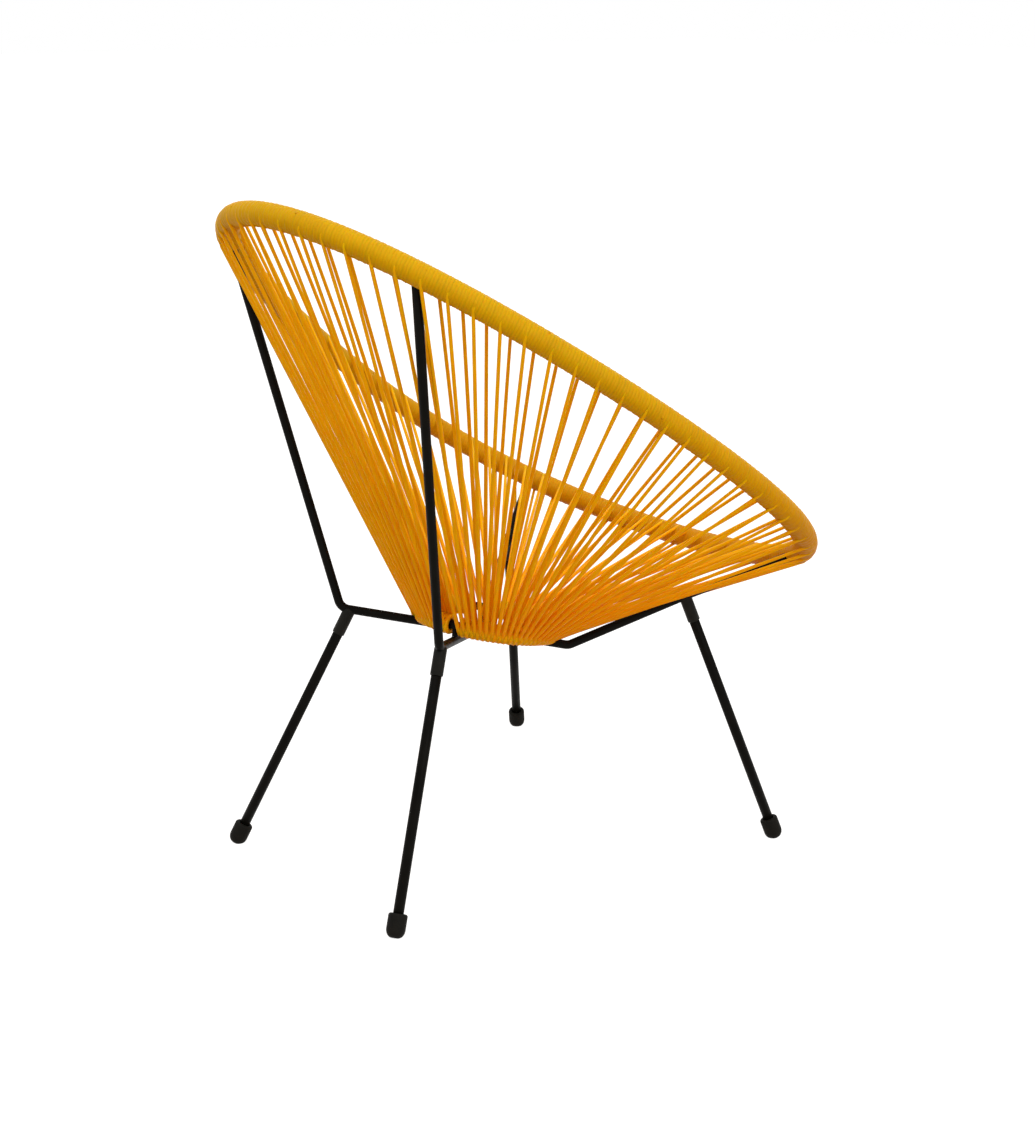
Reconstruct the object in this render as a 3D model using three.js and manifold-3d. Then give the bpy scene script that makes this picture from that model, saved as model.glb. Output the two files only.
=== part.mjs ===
import * as THREE from "three";
import { mergeVertices } from "three/addons/utils/BufferGeometryUtils.js";
import Module from "manifold-3d";

// Acapulco chair: an egg-shaped steel ring wrapped in PVC cord, straight cords strung in pairs
// from it down to a small inner ring, two bent steel rods that cross under the seat, and four
// plug-in legs with rubber caps. Millimetres, +Z up, the chair faces -Y, the floor is z = 0.

const wasm = await Module();
wasm.setup();

// Corners closer than this are one corner.
const mergeTolerance = 1e-4;

// Clearance between two pieces that touch on the real chair.
const fitGap = 0.3;

// Seat ring, measured on its tube's centre line, in its own tilted plane.
const ringHalfWidth = 366;
const ringHalfLength = 428;
const ringEggShare = 0.253;
const ringFrontShare = 0.103;
const ringTiltDegrees = 36.3;
const ringCentreHeight = 601.5;
const ringTubeRadius = 11;
const ringSides = 8;

// PVC cord.
const cordDiameter = 4;
const cordRadius = cordDiameter / 2;
const cordSides = 4;
const cordPairPitch = 31.8;
const cordPairGap = 8;
const frontSectors = 4;
const sideSectors = 5;
const backSectors = 3;
const wrapRadius = ringTubeRadius + cordDiameter;
const wrapGap = 0.6;

// Inner ring under the sitter. It lies on the upper rod, which gives its height and its tilt.
const innerRingRadius = 90;
const innerRodRadius = 5.6;
const innerRingCentreY = 20;
const loopNotch = 14;
const loopGap = 2.4;
const innerRingSteps = 40;
const innerRingSides = 8;
const loopBandRadius = innerRodRadius + cordDiameter + cordRadius;

// The two bent rods. An upright joins the ring at an angle round it, and its elbow lies inward,
// towards the middle of the chair and down from there. A rod turns up at a knee beyond the
// inner ring, on a bearing counted from straight across. The upper knee's drop is counted from
// the back elbow.
const rodRadius = 5.8;
const rodSides = 10;
const bendRadius = 16;
const bendSteps = 4;
const backUpright = { joinDegrees: 142.6, inward: 86.3, shift: -92, drop: 480 };
const frontUpright = { joinDegrees: 35.3, inward: 86.5, shift: 113.5, drop: 55.2 };
const kneeReach = 21.6;
const kneeBearingDegrees = 34;
const upperKneeDrop = 48.7;

// Legs, their sockets and their rubber caps. A foot lies outward and along from its elbow.
// A socket is welded to the rod a little way past its elbow.
const backFootPlan = { outward: 71.2, shift: 124.9 };
const frontFootPlan = { outward: 86.8, shift: -88 };
const footHeight = 13;
const legRadius = 6.7;
const legSides = 12;
const backSocketInset = 12;
const frontSocketInset = 2;
const socketRadius = 8.2;
const socketLength = 36;
const socketRootOffset = 2;
const legInsertDepth = 28;
const legTipChamfer = 1.5;
const capRadius = 12;
const capLength = 30;
const capTopChamfer = 2;
const capDomeHeight = 7;
const capDomeSteps = 2;
const capBoreDepth = 19;

// Stub between the lower rod and the inner ring.
const stubRadius = 4;
const stubSides = 8;

const up = new THREE.Vector3(0, 0, 1);
const degrees = THREE.MathUtils.degToRad;

function steelMaterial() {
  return new THREE.MeshStandardMaterial({ color: 0x1c1a18, roughness: 0.42, metalness: 0.35 });
}

function cordMaterial() {
  return new THREE.MeshStandardMaterial({ color: 0xe08a00, roughness: 0.38, metalness: 0 });
}

function rubberMaterial() {
  return new THREE.MeshStandardMaterial({ color: 0x151515, roughness: 0.7, metalness: 0 });
}

// Solids: a closed geometry as a boolean solid, and back.
function toSolid(geometry) {
  const bare = geometry.index ? geometry.toNonIndexed() : geometry.clone();
  bare.deleteAttribute("normal");
  bare.deleteAttribute("uv");
  const merged = mergeVertices(bare, mergeTolerance);
  const mesh = new wasm.Mesh({
    numProp: 3,
    vertProperties: Float32Array.from(merged.attributes.position.array),
    triVerts: Uint32Array.from(merged.index.array),
  });
  return new wasm.Manifold(mesh);
}

function toGeometry(solid) {
  const mesh = solid.getMesh();
  const geometry = new THREE.BufferGeometry();
  geometry.setAttribute("position", new THREE.BufferAttribute(mesh.vertProperties, 3));
  geometry.setIndex(new THREE.BufferAttribute(mesh.triVerts, 1));
  geometry.computeVertexNormals();
  return geometry;
}

// A path that a section is swept along, with a step at each of its stations.
class StationPath extends THREE.Curve {
  constructor(stations) {
    super();
    this.stations = stations;
  }

  getPoint(share, target = new THREE.Vector3()) {
    const last = this.stations.length - 1;
    const place = THREE.MathUtils.clamp(share * last, 0, last);
    const index = Math.min(Math.floor(place), last - 1);
    return target.lerpVectors(this.stations[index], this.stations[index + 1], place - index);
  }

  getUtoTmapping(share) {
    return share;
  }
}

function sweptRod(stations, radius, sides) {
  const section = new THREE.Shape();
  for (let i = 0; i < sides; i += 1) {
    const angle = (i * 2 * Math.PI) / sides;
    const method = i === 0 ? "moveTo" : "lineTo";
    section[method](radius * Math.cos(angle), radius * Math.sin(angle));
  }
  return new THREE.ExtrudeGeometry(section, {
    steps: stations.length - 1,
    extrudePath: new StationPath(stations),
    bevelEnabled: false,
  });
}

// Round sections stood square to a planar ring. A station is a point and the ring's way there.
function ringSections(stations, normal, radii, sides) {
  const positions = [];
  for (const { point, way } of stations) {
    const inward = new THREE.Vector3().crossVectors(normal, way);
    for (const radius of radii) {
      for (let i = 0; i < sides; i += 1) {
        const angle = (i * 2 * Math.PI) / sides;
        const vertex = point.clone().addScaledVector(inward, radius * Math.cos(angle));
        vertex.addScaledVector(normal, radius * Math.sin(angle));
        positions.push(...vertex.toArray());
      }
    }
  }
  return positions;
}

function facesOf(positions, quads) {
  const geometry = new THREE.BufferGeometry();
  geometry.setAttribute("position", new THREE.Float32BufferAttribute(positions, 3));
  geometry.setIndex(quads.flatMap(([a, b, c, d]) => [a, b, c, a, c, d]));
  geometry.computeVertexNormals();
  return geometry;
}

function ringTubeGeometry(stations, normal, radius, sides) {
  const quads = [];
  for (let i = 0; i < stations.length; i += 1) {
    const here = i * sides;
    const there = ((i + 1) % stations.length) * sides;
    for (let k = 0; k < sides; k += 1) {
      const next = (k + 1) % sides;
      quads.push([here + k, here + next, there + next, there + k]);
    }
  }
  return facesOf(ringSections(stations, normal, [radius], sides), quads);
}

// A sleeve over part of a ring: a skin, a bore and two flat ends.
function ringSleeveGeometry(stations, normal, radius, boreRadius, sides) {
  const quads = [];
  const end = (stations.length - 1) * 2 * sides;
  for (let k = 0; k < sides; k += 1) {
    const next = (k + 1) % sides;
    for (let here = 0; here < end; here += 2 * sides) {
      const there = here + 2 * sides;
      quads.push([here + k, here + next, there + next, there + k]);
      quads.push([here + sides + k, there + sides + k, there + sides + next, here + sides + next]);
    }
    quads.push([k, sides + k, sides + next, next]);
    quads.push([end + k, end + next, end + sides + next, end + sides + k]);
  }
  return facesOf(ringSections(stations, normal, [radius, boreRadius], sides), quads);
}

// A straight round bar from one point to another.
function bar(from, to, radius, sides) {
  const along = to.clone().sub(from);
  const geometry = new THREE.CylinderGeometry(radius, radius, along.length(), sides);
  geometry.rotateX(Math.PI / 2);
  const turn = new THREE.Quaternion().setFromUnitVectors(up, along.clone().normalize());
  geometry.applyQuaternion(turn);
  const middle = from.clone().lerp(to, 0.5);
  return geometry.translate(middle.x, middle.y, middle.z);
}

// Seat ring: an egg in a tilted plane, broad at the front. Angle 0 is the front.
function ringPoint(angle) {
  const cosine = Math.cos(angle);
  const egg = 1 + ringEggShare * cosine + ringFrontShare * cosine * cosine;
  const across = ringHalfWidth * Math.sin(angle) * egg;
  const forward = ringHalfLength * cosine;
  const tilt = degrees(ringTiltDegrees);
  return new THREE.Vector3(
    across,
    -forward * Math.cos(tilt),
    ringCentreHeight - forward * Math.sin(tilt),
  );
}

// The same ring by the length along it, so that the cords can be spaced evenly.
class SeatRing extends THREE.Curve {
  getPoint(share, target = new THREE.Vector3()) {
    return target.copy(ringPoint(share * 2 * Math.PI));
  }
}

const seatRing = new SeatRing();
seatRing.arcLengthDivisions = 720;
const ringLength = seatRing.getLength();

function ringShareOf(angleDegrees) {
  const lengths = seatRing.getLengths();
  const place = (angleDegrees / 360) * (lengths.length - 1);
  const index = Math.floor(place);
  const next = Math.min(index + 1, lengths.length - 1);
  return THREE.MathUtils.lerp(lengths[index], lengths[next], place - index) / ringLength;
}

function ringAt(share) {
  return seatRing.getPointAt(THREE.MathUtils.euclideanModulo(share, 1));
}

function ringTangentAt(share) {
  return seatRing.getTangentAt(THREE.MathUtils.euclideanModulo(share, 1));
}

// Elbows, knees and feet, for the chair's left side.
function elbowOf(upright) {
  const joint = ringAt(ringShareOf(upright.joinDegrees));
  return { x: joint.x - upright.inward, y: joint.y + upright.shift, z: joint.z - upright.drop };
}

const backElbow = elbowOf(backUpright);
const frontElbow = elbowOf(frontUpright);
const backFoot = footUnder(backElbow, backFootPlan);
const frontFoot = footUnder(frontElbow, frontFootPlan);
const upperKnee = kneeAt(upperKneeDrop);
const innerRingTilt = Math.atan2(upperKneeDrop, backElbow.y - upperKnee.y);
const innerRingSeat = (innerRodRadius + rodRadius + fitGap) / Math.cos(innerRingTilt);
const innerRingHeight =
  backElbow.z - (backElbow.y - innerRingCentreY) * Math.tan(innerRingTilt) + innerRingSeat;
const lowerKnee = kneeAt(lowerKneeDrop());

function footUnder(elbow, plan) {
  return { x: elbow.x + plan.outward, y: elbow.y + plan.shift, z: footHeight };
}

function kneeAt(drop) {
  const reach = innerRingRadius + kneeReach;
  const bearing = degrees(kneeBearingDegrees);
  return {
    x: reach * Math.cos(bearing),
    y: innerRingCentreY - reach * Math.sin(bearing),
    z: backElbow.z - drop,
  };
}

// The lower rod touches the upper one where they cross, in the middle of the chair.
function lowerKneeDrop() {
  const crossingShare = backElbow.x / (backElbow.x + upperKnee.x);
  const clear = (2 * (rodRadius + fitGap)) / Math.cos(innerRingTilt);
  return upperKneeDrop + clear / crossingShare;
}

function innerRingAt(angle) {
  const back = -innerRingRadius * Math.cos(angle);
  return new THREE.Vector3(
    innerRingRadius * Math.sin(angle),
    innerRingCentreY + back * Math.cos(innerRingTilt),
    innerRingHeight + back * Math.sin(innerRingTilt),
  );
}

function tiltedNormal(tilt) {
  return new THREE.Vector3(0, -Math.sin(tilt), Math.cos(tilt));
}

function innerTangentAt(angle) {
  const rise = Math.sin(angle);
  return new THREE.Vector3(
    Math.cos(angle),
    rise * Math.cos(innerRingTilt),
    rise * Math.sin(innerRingTilt),
  );
}

// The cords' spans: between two uprights the pairs are evenly spaced along the ring.
function cordSpans() {
  const front = ringShareOf(frontUpright.joinDegrees);
  const back = ringShareOf(backUpright.joinDegrees);
  const ends = [-front, front, back, 1 - back, 1 - front];
  const sectors = [frontSectors, sideSectors, backSectors, sideSectors];
  const spans = [];
  let firstPair = 0;
  for (let i = 0; i < ends.length - 1; i += 1) {
    const length = (ends[i + 1] - ends[i]) * ringLength;
    const pairs = Math.round(length / cordPairPitch);
    spans.push({ from: ends[i], to: ends[i + 1], pairs, firstPair, sectors: sectors[i] });
    firstPair += pairs;
  }
  return spans;
}

const spans = cordSpans();
const pairCount = spans.reduce((sum, span) => sum + span.pairs, 0);

// A pair's place: its share of the ring's length, and its angle on the inner ring.
function ringShareOfPair(span, pair) {
  return THREE.MathUtils.lerp(span.from, span.to, pair / span.pairs);
}

// Where a rod passes the inner ring, seen from above: its angles at the ring's back and front.
function crossingAngles(side, knee) {
  const start = new THREE.Vector2(side * backElbow.x, backElbow.y - innerRingCentreY);
  const end = new THREE.Vector2(-side * knee.x, knee.y - innerRingCentreY);
  const way = end.clone().sub(start).normalize();
  const nearest = -start.dot(way);
  const offset = start.clone().addScaledVector(way, nearest).length();
  const half = Math.sqrt(innerRingRadius ** 2 - offset ** 2);
  return [nearest - half, nearest + half].map((distance) => {
    const point = start.clone().addScaledVector(way, distance);
    return Math.atan2(point.x, -point.y);
  });
}

// The loops stand evenly round the inner ring, with a notch left free where a rod passes it.
// Pairs are counted from the chair's front, and each break is a place with a notch. No pair is
// split: with an odd count between the front uprights every break ends in a half.
const notchAngle = loopNotch / 2 / innerRingRadius;

function crossingBreaks() {
  const turn = 2 * Math.PI;
  const angles = [...crossingAngles(1, upperKnee), ...crossingAngles(-1, lowerKnee)];
  const density = pairCount / (turn - 2 * notchAngle * angles.length);
  const offset = (spans[0].pairs / 2) % 1;
  const breaks = angles.map((angle) => {
    const size = Math.abs(angle);
    const passed = angles.filter((other) => other * angle > 0 && Math.abs(other) < size).length;
    const free = size - notchAngle * (2 * passed + 1);
    return { angle, place: Math.sign(angle) * (Math.round(free * density - offset) + offset) };
  });
  breaks.sort((a, b) => a.angle - b.angle);
  const first = breaks[0];
  const last = breaks[breaks.length - 1];
  breaks.unshift({ angle: last.angle - turn, place: last.place - pairCount });
  breaks.push({ angle: first.angle + turn, place: first.place + pairCount });
  return breaks;
}

const breaks = crossingBreaks();

function placeOfPair(span, pair) {
  const place = span.firstPair + pair - spans[0].pairs / 2;
  return place > pairCount / 2 ? place - pairCount : place;
}

function loopAngleAt(run, place) {
  const from = breaks[run];
  const to = breaks[run + 1];
  const share = (place - from.place) / (to.place - from.place);
  return THREE.MathUtils.lerp(from.angle + notchAngle, to.angle - notchAngle, share);
}

function innerAngleOfPair(span, pair) {
  const place = placeOfPair(span, pair);
  const run = breaks.findIndex((stop) => stop.place > place) - 1;
  return loopAngleAt(run, place);
}

function ringStation(span, pair) {
  const share = ringShareOfPair(span, pair);
  return { point: ringAt(share), way: ringTangentAt(share) };
}

function ringTube(radius) {
  const stations = [];
  for (const span of spans) {
    for (let pair = 0; pair < span.pairs; pair += 1) {
      stations.push(ringStation(span, pair));
    }
  }
  return ringTubeGeometry(stations, tiltedNormal(degrees(ringTiltDegrees)), radius, ringSides);
}

function innerStation(angle) {
  return { point: innerRingAt(angle), way: innerTangentAt(angle) };
}

function innerTube(radius) {
  const stations = [];
  for (let i = 0; i < innerRingSteps; i += 1) {
    stations.push(innerStation((i / innerRingSteps) * 2 * Math.PI));
  }
  return ringTubeGeometry(stations, tiltedNormal(innerRingTilt), radius, innerRingSides);
}

// Rods: straight runs joined by round bends.
function bendInto(stations, corner, before, after) {
  const inward = before.clone().sub(corner).normalize();
  const outward = after.clone().sub(corner).normalize();
  const half = inward.angleTo(outward) / 2;
  const reach = bendRadius / Math.tan(half);
  const start = corner.clone().addScaledVector(inward, reach);
  const end = corner.clone().addScaledVector(outward, reach);
  const bisector = inward.clone().add(outward).normalize();
  const centre = corner.clone().addScaledVector(bisector, bendRadius / Math.sin(half));
  const first = start.clone().sub(centre);
  const last = end.clone().sub(centre);
  const sweep = first.angleTo(last);
  for (let i = 0; i <= bendSteps; i += 1) {
    const share = i / bendSteps;
    const point = centre.clone();
    point.addScaledVector(first, Math.sin((1 - share) * sweep) / Math.sin(sweep));
    point.addScaledVector(last, Math.sin(share * sweep) / Math.sin(sweep));
    stations.push(point);
  }
}

function rodStations(side, knee) {
  const backTop = ringAt(ringShareOf(backUpright.joinDegrees));
  const frontTop = ringAt(ringShareOf(frontUpright.joinDegrees));
  const corners = [
    onSide(backTop, side),
    onSide(backElbow, side),
    onSide(knee, -side),
    onSide(frontElbow, -side),
    onSide(frontTop, -side),
  ];
  const stations = [corners[0]];
  for (let i = 1; i < corners.length - 1; i += 1) {
    bendInto(stations, corners[i], corners[i - 1], corners[i + 1]);
  }
  stations.push(corners[corners.length - 1]);
  return stations;
}

function rodSolid(side, knee, radius) {
  return toSolid(sweptRod(rodStations(side, knee), radius, rodSides));
}

// The stub that carries the inner ring over the lower rod, where that rod passes its back.
function stubSolid(radius) {
  const side = -1;
  const [angle] = crossingAngles(side, lowerKnee);
  const top = innerRingAt(angle);
  const from = onSide(backElbow, side);
  const way = onSide(lowerKnee, -side).sub(from).normalize();
  const bottom = from.clone().addScaledVector(way, top.clone().sub(from).dot(way));
  return toSolid(bar(bottom, top, radius, stubSides));
}

// Legs: each has a socket welded under its rod, on the line from there to the foot.
function onSide(place, side) {
  return new THREE.Vector3(side * place.x, place.y, place.z);
}

function legLine(leg) {
  const root = onSide(leg.corner, leg.side);
  const knee = onSide(leg.knee, leg.kneeSide);
  root.addScaledVector(knee.sub(root).normalize(), leg.inset);
  const tip = onSide(leg.foot, leg.side);
  const along = tip.clone().sub(root).normalize();
  return { root, tip, along };
}

// A turned shape stood on a leg's line: profile points are radius and distance from the start.
function turnedOn(line, start, points, sides) {
  const profile = points.map(([radius, distance]) => new THREE.Vector2(radius, distance));
  const geometry = new THREE.LatheGeometry(profile, sides);
  geometry.rotateX(Math.PI / 2);
  geometry.applyQuaternion(new THREE.Quaternion().setFromUnitVectors(up, line.along));
  return geometry.translate(start.x, start.y, start.z);
}

function socketSolid(line, rodClearance) {
  const bore = legRadius + fitGap;
  const points = [
    [bore, socketRootOffset],
    [socketRadius, socketRootOffset],
    [socketRadius, socketLength],
    [bore, socketLength],
    [bore, socketRootOffset],
  ];
  return toSolid(turnedOn(line, line.root, points, legSides)).subtract(rodClearance);
}

function legGeometry(line) {
  const top = socketLength - legInsertDepth;
  const capFloor = line.tip.distanceTo(line.root) + capLength / 2 - (capLength - capBoreDepth);
  const bottom = capFloor - fitGap;
  const points = [
    [0, top],
    [legRadius - legTipChamfer, top],
    [legRadius, top + legTipChamfer],
    [legRadius, bottom - legTipChamfer],
    [legRadius - legTipChamfer, bottom],
    [0, bottom],
  ];
  return turnedOn(line, line.root, points, legSides);
}

function capSolid(line) {
  const bore = legRadius + fitGap;
  const start = line.tip.clone().addScaledVector(line.along, -capLength / 2);
  const points = [
    [0, capBoreDepth],
    [bore, capBoreDepth],
    [bore, 0],
    [capRadius - capTopChamfer, 0],
    [capRadius, capTopChamfer],
    [capRadius, capLength - capDomeHeight],
  ];
  for (let i = 1; i <= capDomeSteps; i += 1) {
    const angle = (i / capDomeSteps) * (Math.PI / 2);
    const radius = i === capDomeSteps ? 0 : capRadius * Math.cos(angle);
    points.push([radius, capLength - capDomeHeight + capDomeHeight * Math.sin(angle)]);
  }
  const cap = toSolid(turnedOn(line, start, points, legSides));
  return cap.trimByPlane([0, 0, 1], 0);
}

// Cords: the wrap on the ring, the loops on the inner ring and the strung pairs of a sector.
function drawnIn(stations, distance) {
  const start = stations[0];
  const end = stations[stations.length - 1];
  start.point.addScaledVector(start.way, distance);
  end.point.addScaledVector(end.way, -distance);
  return stations;
}

// The bore stands a fit gap off the steel, flat to flat.
function boreOver(radius, sides) {
  return radius + fitGap / Math.cos(Math.PI / sides);
}

function wrapSolid(span, first, last) {
  const stations = [];
  for (let pair = first; pair <= last; pair += 1) {
    stations.push(ringStation(span, pair));
  }
  drawnIn(stations, wrapGap / 2);
  const normal = tiltedNormal(degrees(ringTiltDegrees));
  const bore = boreOver(ringTubeRadius, ringSides);
  return toSolid(ringSleeveGeometry(stations, normal, wrapRadius, bore, ringSides));
}

// A sector's loops: one run of them between two notches.
function loopSolid(run, first, last) {
  const stations = [];
  const steps = Math.ceil((last - first) / 2);
  for (let i = 0; i <= steps; i += 1) {
    const place = THREE.MathUtils.lerp(first, last, i / steps);
    stations.push(innerStation(loopAngleAt(run, place)));
  }
  drawnIn(stations, loopGap / 2);
  const normal = tiltedNormal(innerRingTilt);
  const bore = boreOver(innerRodRadius + fitGap, innerRingSides);
  const sleeve = ringSleeveGeometry(stations, normal, loopBandRadius, bore, innerRingSides);
  return toSolid(sleeve);
}

function loopRuns(span, first, last) {
  const middle = placeOfPair(span, (first + last) / 2);
  const half = (last - first) / 2;
  const solids = [];
  for (let run = 0; run < breaks.length - 1; run += 1) {
    const from = Math.max(middle - half, breaks[run].place);
    const to = Math.min(middle + half, breaks[run + 1].place);
    if (to > from) {
      solids.push(loopSolid(run, from, to));
    }
  }
  return solids;
}

// One straight cord. Layer 1 runs outside the bowl and -1 inside it: the cord leaves the wrap
// on that side of the ring and goes round the inner ring on the same side. The outer cord of
// a pair stands nearer to the back of the chair.
function strandSolid(span, pair, layer) {
  const half = Math.sign(ringAt(ringShareOfPair(span, pair)).x) || 1;
  const shift = (half * layer * cordPairGap) / 2;
  const share = ringShareOfPair(span, pair) + shift / ringLength;
  const angle = innerAngleOfPair(span, pair);
  const rim = ringAt(share);
  const inner = innerRingAt(angle);
  const way = inner.clone().sub(rim).normalize();
  const rimOut = way.clone().cross(ringTangentAt(share)).normalize();
  const innerOut = way.clone().cross(innerTangentAt(angle)).normalize();
  const from = rim.addScaledVector(rimOut, layer * (ringTubeRadius + fitGap + cordRadius));
  const to = inner.addScaledVector(innerOut, layer * (innerRodRadius + 2 * fitGap + cordRadius));
  const along = to.clone().sub(from).normalize();
  from.addScaledVector(along, cordDiameter);
  to.addScaledVector(along, -cordRadius);
  const route = layer > 0 ? bentRound(from, to) : [from, to];
  const bars = route.slice(1).map((place, i) => toSolid(cordBar(route[i], place)));
  return bars.reduce((solid, next) => solid.add(next));
}

function cordBar(from, to) {
  const along = to.clone().sub(from).normalize();
  const start = from.clone().addScaledVector(along, -cordRadius);
  const end = to.clone().addScaledVector(along, cordRadius);
  return bar(start, end, cordRadius, cordSides);
}

// Steel that a cord may meet on its way: the centre lines of the rods and of the sockets.
function steelBars() {
  const bars = [];
  for (const rod of rods) {
    const stations = rodStations(rod.side, rod.knee);
    for (let i = 1; i < stations.length; i += 1) {
      bars.push({ start: stations[i - 1], end: stations[i], radius: rodRadius });
    }
  }
  for (const leg of legs) {
    const line = legLine(leg);
    const end = line.root.clone().addScaledVector(line.along, socketLength);
    bars.push({ start: line.root, end, radius: socketRadius });
  }
  return bars;
}

// A cord that meets such a bar lies against it: it bends there, away from the bar's centre.
function bentRound(from, to) {
  const cord = new THREE.Ray(from, to.clone().sub(from).normalize());
  const onCord = new THREE.Vector3();
  const onBar = new THREE.Vector3();
  const route = [from, to];
  let deepest = 0;
  for (const { start, end, radius } of barsUnderSeat) {
    const free = radius + fitGap + cordRadius;
    const distance = Math.sqrt(cord.distanceSqToSegment(start, end, onCord, onBar));
    const withinCord = onCord.distanceTo(from) < to.distanceTo(from);
    if (withinCord && free - distance > deepest) {
      deepest = free - distance;
      const away = onCord.clone().sub(onBar).setLength(free);
      route.splice(1, route.length - 2, onBar.clone().add(away));
    }
  }
  return route;
}

function sectorSolid(span, first, last, clearances) {
  let solid = wrapSolid(span, first, last);
  for (const loops of loopRuns(span, first, last)) {
    solid = solid.add(loops);
  }
  for (let pair = first; pair < last; pair += 1) {
    for (const layer of [1, -1]) {
      solid = solid.add(strandSolid(span, pair + 0.5, layer));
    }
  }
  for (const clearance of clearances) {
    solid = solid.subtract(clearance);
  }
  return solid;
}

// The chair.
const chair = new THREE.Group();

function addPiece(name, geometry, material) {
  const mesh = new THREE.Mesh(geometry, material);
  mesh.name = name;
  chair.add(mesh);
}

const rods = [
  { name: "frame_rod_upper", side: 1, knee: upperKnee },
  { name: "frame_rod_lower", side: -1, knee: lowerKnee },
];
const backLeg = { corner: backElbow, foot: backFoot, inset: backSocketInset };
const frontLeg = { corner: frontElbow, foot: frontFoot, inset: frontSocketInset };
const legs = [
  { ...backLeg, name: "back_left", side: 1, rod: 0, knee: upperKnee, kneeSide: -1 },
  { ...backLeg, name: "back_right", side: -1, rod: 1, knee: lowerKnee, kneeSide: 1 },
  { ...frontLeg, name: "front_left", side: 1, rod: 1, knee: lowerKnee, kneeSide: 1 },
  { ...frontLeg, name: "front_right", side: -1, rod: 0, knee: upperKnee, kneeSide: -1 },
];
const barsUnderSeat = steelBars();
const ringClearance = toSolid(ringTube(ringTubeRadius + fitGap));
const innerClearance = toSolid(innerTube(innerRodRadius + fitGap));
const rodClearances = rods.map((rod) => rodSolid(rod.side, rod.knee, rodRadius + fitGap));
const stubClearance = stubSolid(stubRadius + fitGap);

addPiece("seat_ring_tube", ringTube(ringTubeRadius), steelMaterial());
addPiece("inner_ring", innerTube(innerRodRadius), steelMaterial());
for (const rod of rods) {
  const solid = rodSolid(rod.side, rod.knee, rodRadius).subtract(ringClearance);
  addPiece(rod.name, toGeometry(solid), steelMaterial());
}

const stub = stubSolid(stubRadius).subtract(innerClearance).subtract(rodClearances[1]);
addPiece("inner_ring_stub", toGeometry(stub), steelMaterial());

for (const leg of legs) {
  const line = legLine(leg);
  const socket = socketSolid(line, rodClearances[leg.rod]);
  addPiece(`leg_socket_${leg.name}`, toGeometry(socket), steelMaterial());
  addPiece(`leg_${leg.name}`, legGeometry(line), steelMaterial());
  addPiece(`foot_cap_${leg.name}`, toGeometry(capSolid(line)), rubberMaterial());
}

let sectorNumber = 0;
for (const span of spans) {
  for (let i = 0; i < span.sectors; i += 1) {
    const first = Math.round((i * span.pairs) / span.sectors);
    const last = Math.round(((i + 1) * span.pairs) / span.sectors);
    const solid = sectorSolid(span, first, last, [...rodClearances, stubClearance]);
    sectorNumber += 1;
    const name = `cord_sector_${String(sectorNumber).padStart(2, "0")}`;
    addPiece(name, toGeometry(solid), cordMaterial());
  }
}

export default chair;
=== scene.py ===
import bisect
import math
import random

import bmesh
import bpy
from mathutils import Matrix, Vector
from mathutils.geometry import intersect_line_line, intersect_point_line


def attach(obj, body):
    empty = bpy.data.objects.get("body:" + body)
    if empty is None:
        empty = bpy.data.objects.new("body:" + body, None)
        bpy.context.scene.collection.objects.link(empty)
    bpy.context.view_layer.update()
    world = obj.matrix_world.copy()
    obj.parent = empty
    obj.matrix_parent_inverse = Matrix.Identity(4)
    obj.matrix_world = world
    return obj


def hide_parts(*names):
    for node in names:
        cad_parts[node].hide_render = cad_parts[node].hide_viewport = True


# Acapulco chair in metres, +Z up, facing -Y, floor at z = 0.
mm = 0.001
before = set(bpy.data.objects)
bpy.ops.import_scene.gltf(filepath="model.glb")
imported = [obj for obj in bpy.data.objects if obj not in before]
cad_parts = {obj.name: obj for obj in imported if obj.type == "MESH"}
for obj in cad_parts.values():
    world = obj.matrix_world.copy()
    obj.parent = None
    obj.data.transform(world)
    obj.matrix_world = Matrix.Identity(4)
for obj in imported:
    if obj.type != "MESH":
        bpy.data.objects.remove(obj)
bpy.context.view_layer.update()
print("frame loaded:", len(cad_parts), "nodes")


def newMaterial(name):
    material = bpy.data.materials.new(name)
    material.use_nodes = True
    tree = material.node_tree
    tree.nodes.clear()
    shader = tree.nodes.new("ShaderNodeBsdfPrincipled")
    output = tree.nodes.new("ShaderNodeOutputMaterial")
    tree.links.new(shader.outputs["BSDF"], output.inputs["Surface"])
    return material, shader


def addNoise(material, scale, detail):
    tree = material.node_tree
    place = tree.nodes.new("ShaderNodeTexCoord")
    noise = tree.nodes.new("ShaderNodeTexNoise")
    noise.inputs["Scale"].default_value = scale
    noise.inputs["Detail"].default_value = detail
    tree.links.new(place.outputs["Object"], noise.inputs["Vector"])
    return noise.outputs["Fac"]


# Noise seldom strays far from its middle value, so only this much of it is spread out.
noiseSpread = {
    "colourLow": 0.35,
    "colourHigh": 0.65,
    "wearLow": 0.3,
    "wearHigh": 0.7,
}


def addColours(material, source, dark, light):
    tree = material.node_tree
    ramp = tree.nodes.new("ShaderNodeValToRGB")
    ends = ramp.color_ramp.elements
    ends[0].position = noiseSpread["colourLow"]
    ends[0].color = (*dark, 1)
    ends[1].position = noiseSpread["colourHigh"]
    ends[1].color = (*light, 1)
    tree.links.new(source, ramp.inputs["Fac"])
    return ramp.outputs["Color"]


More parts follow.
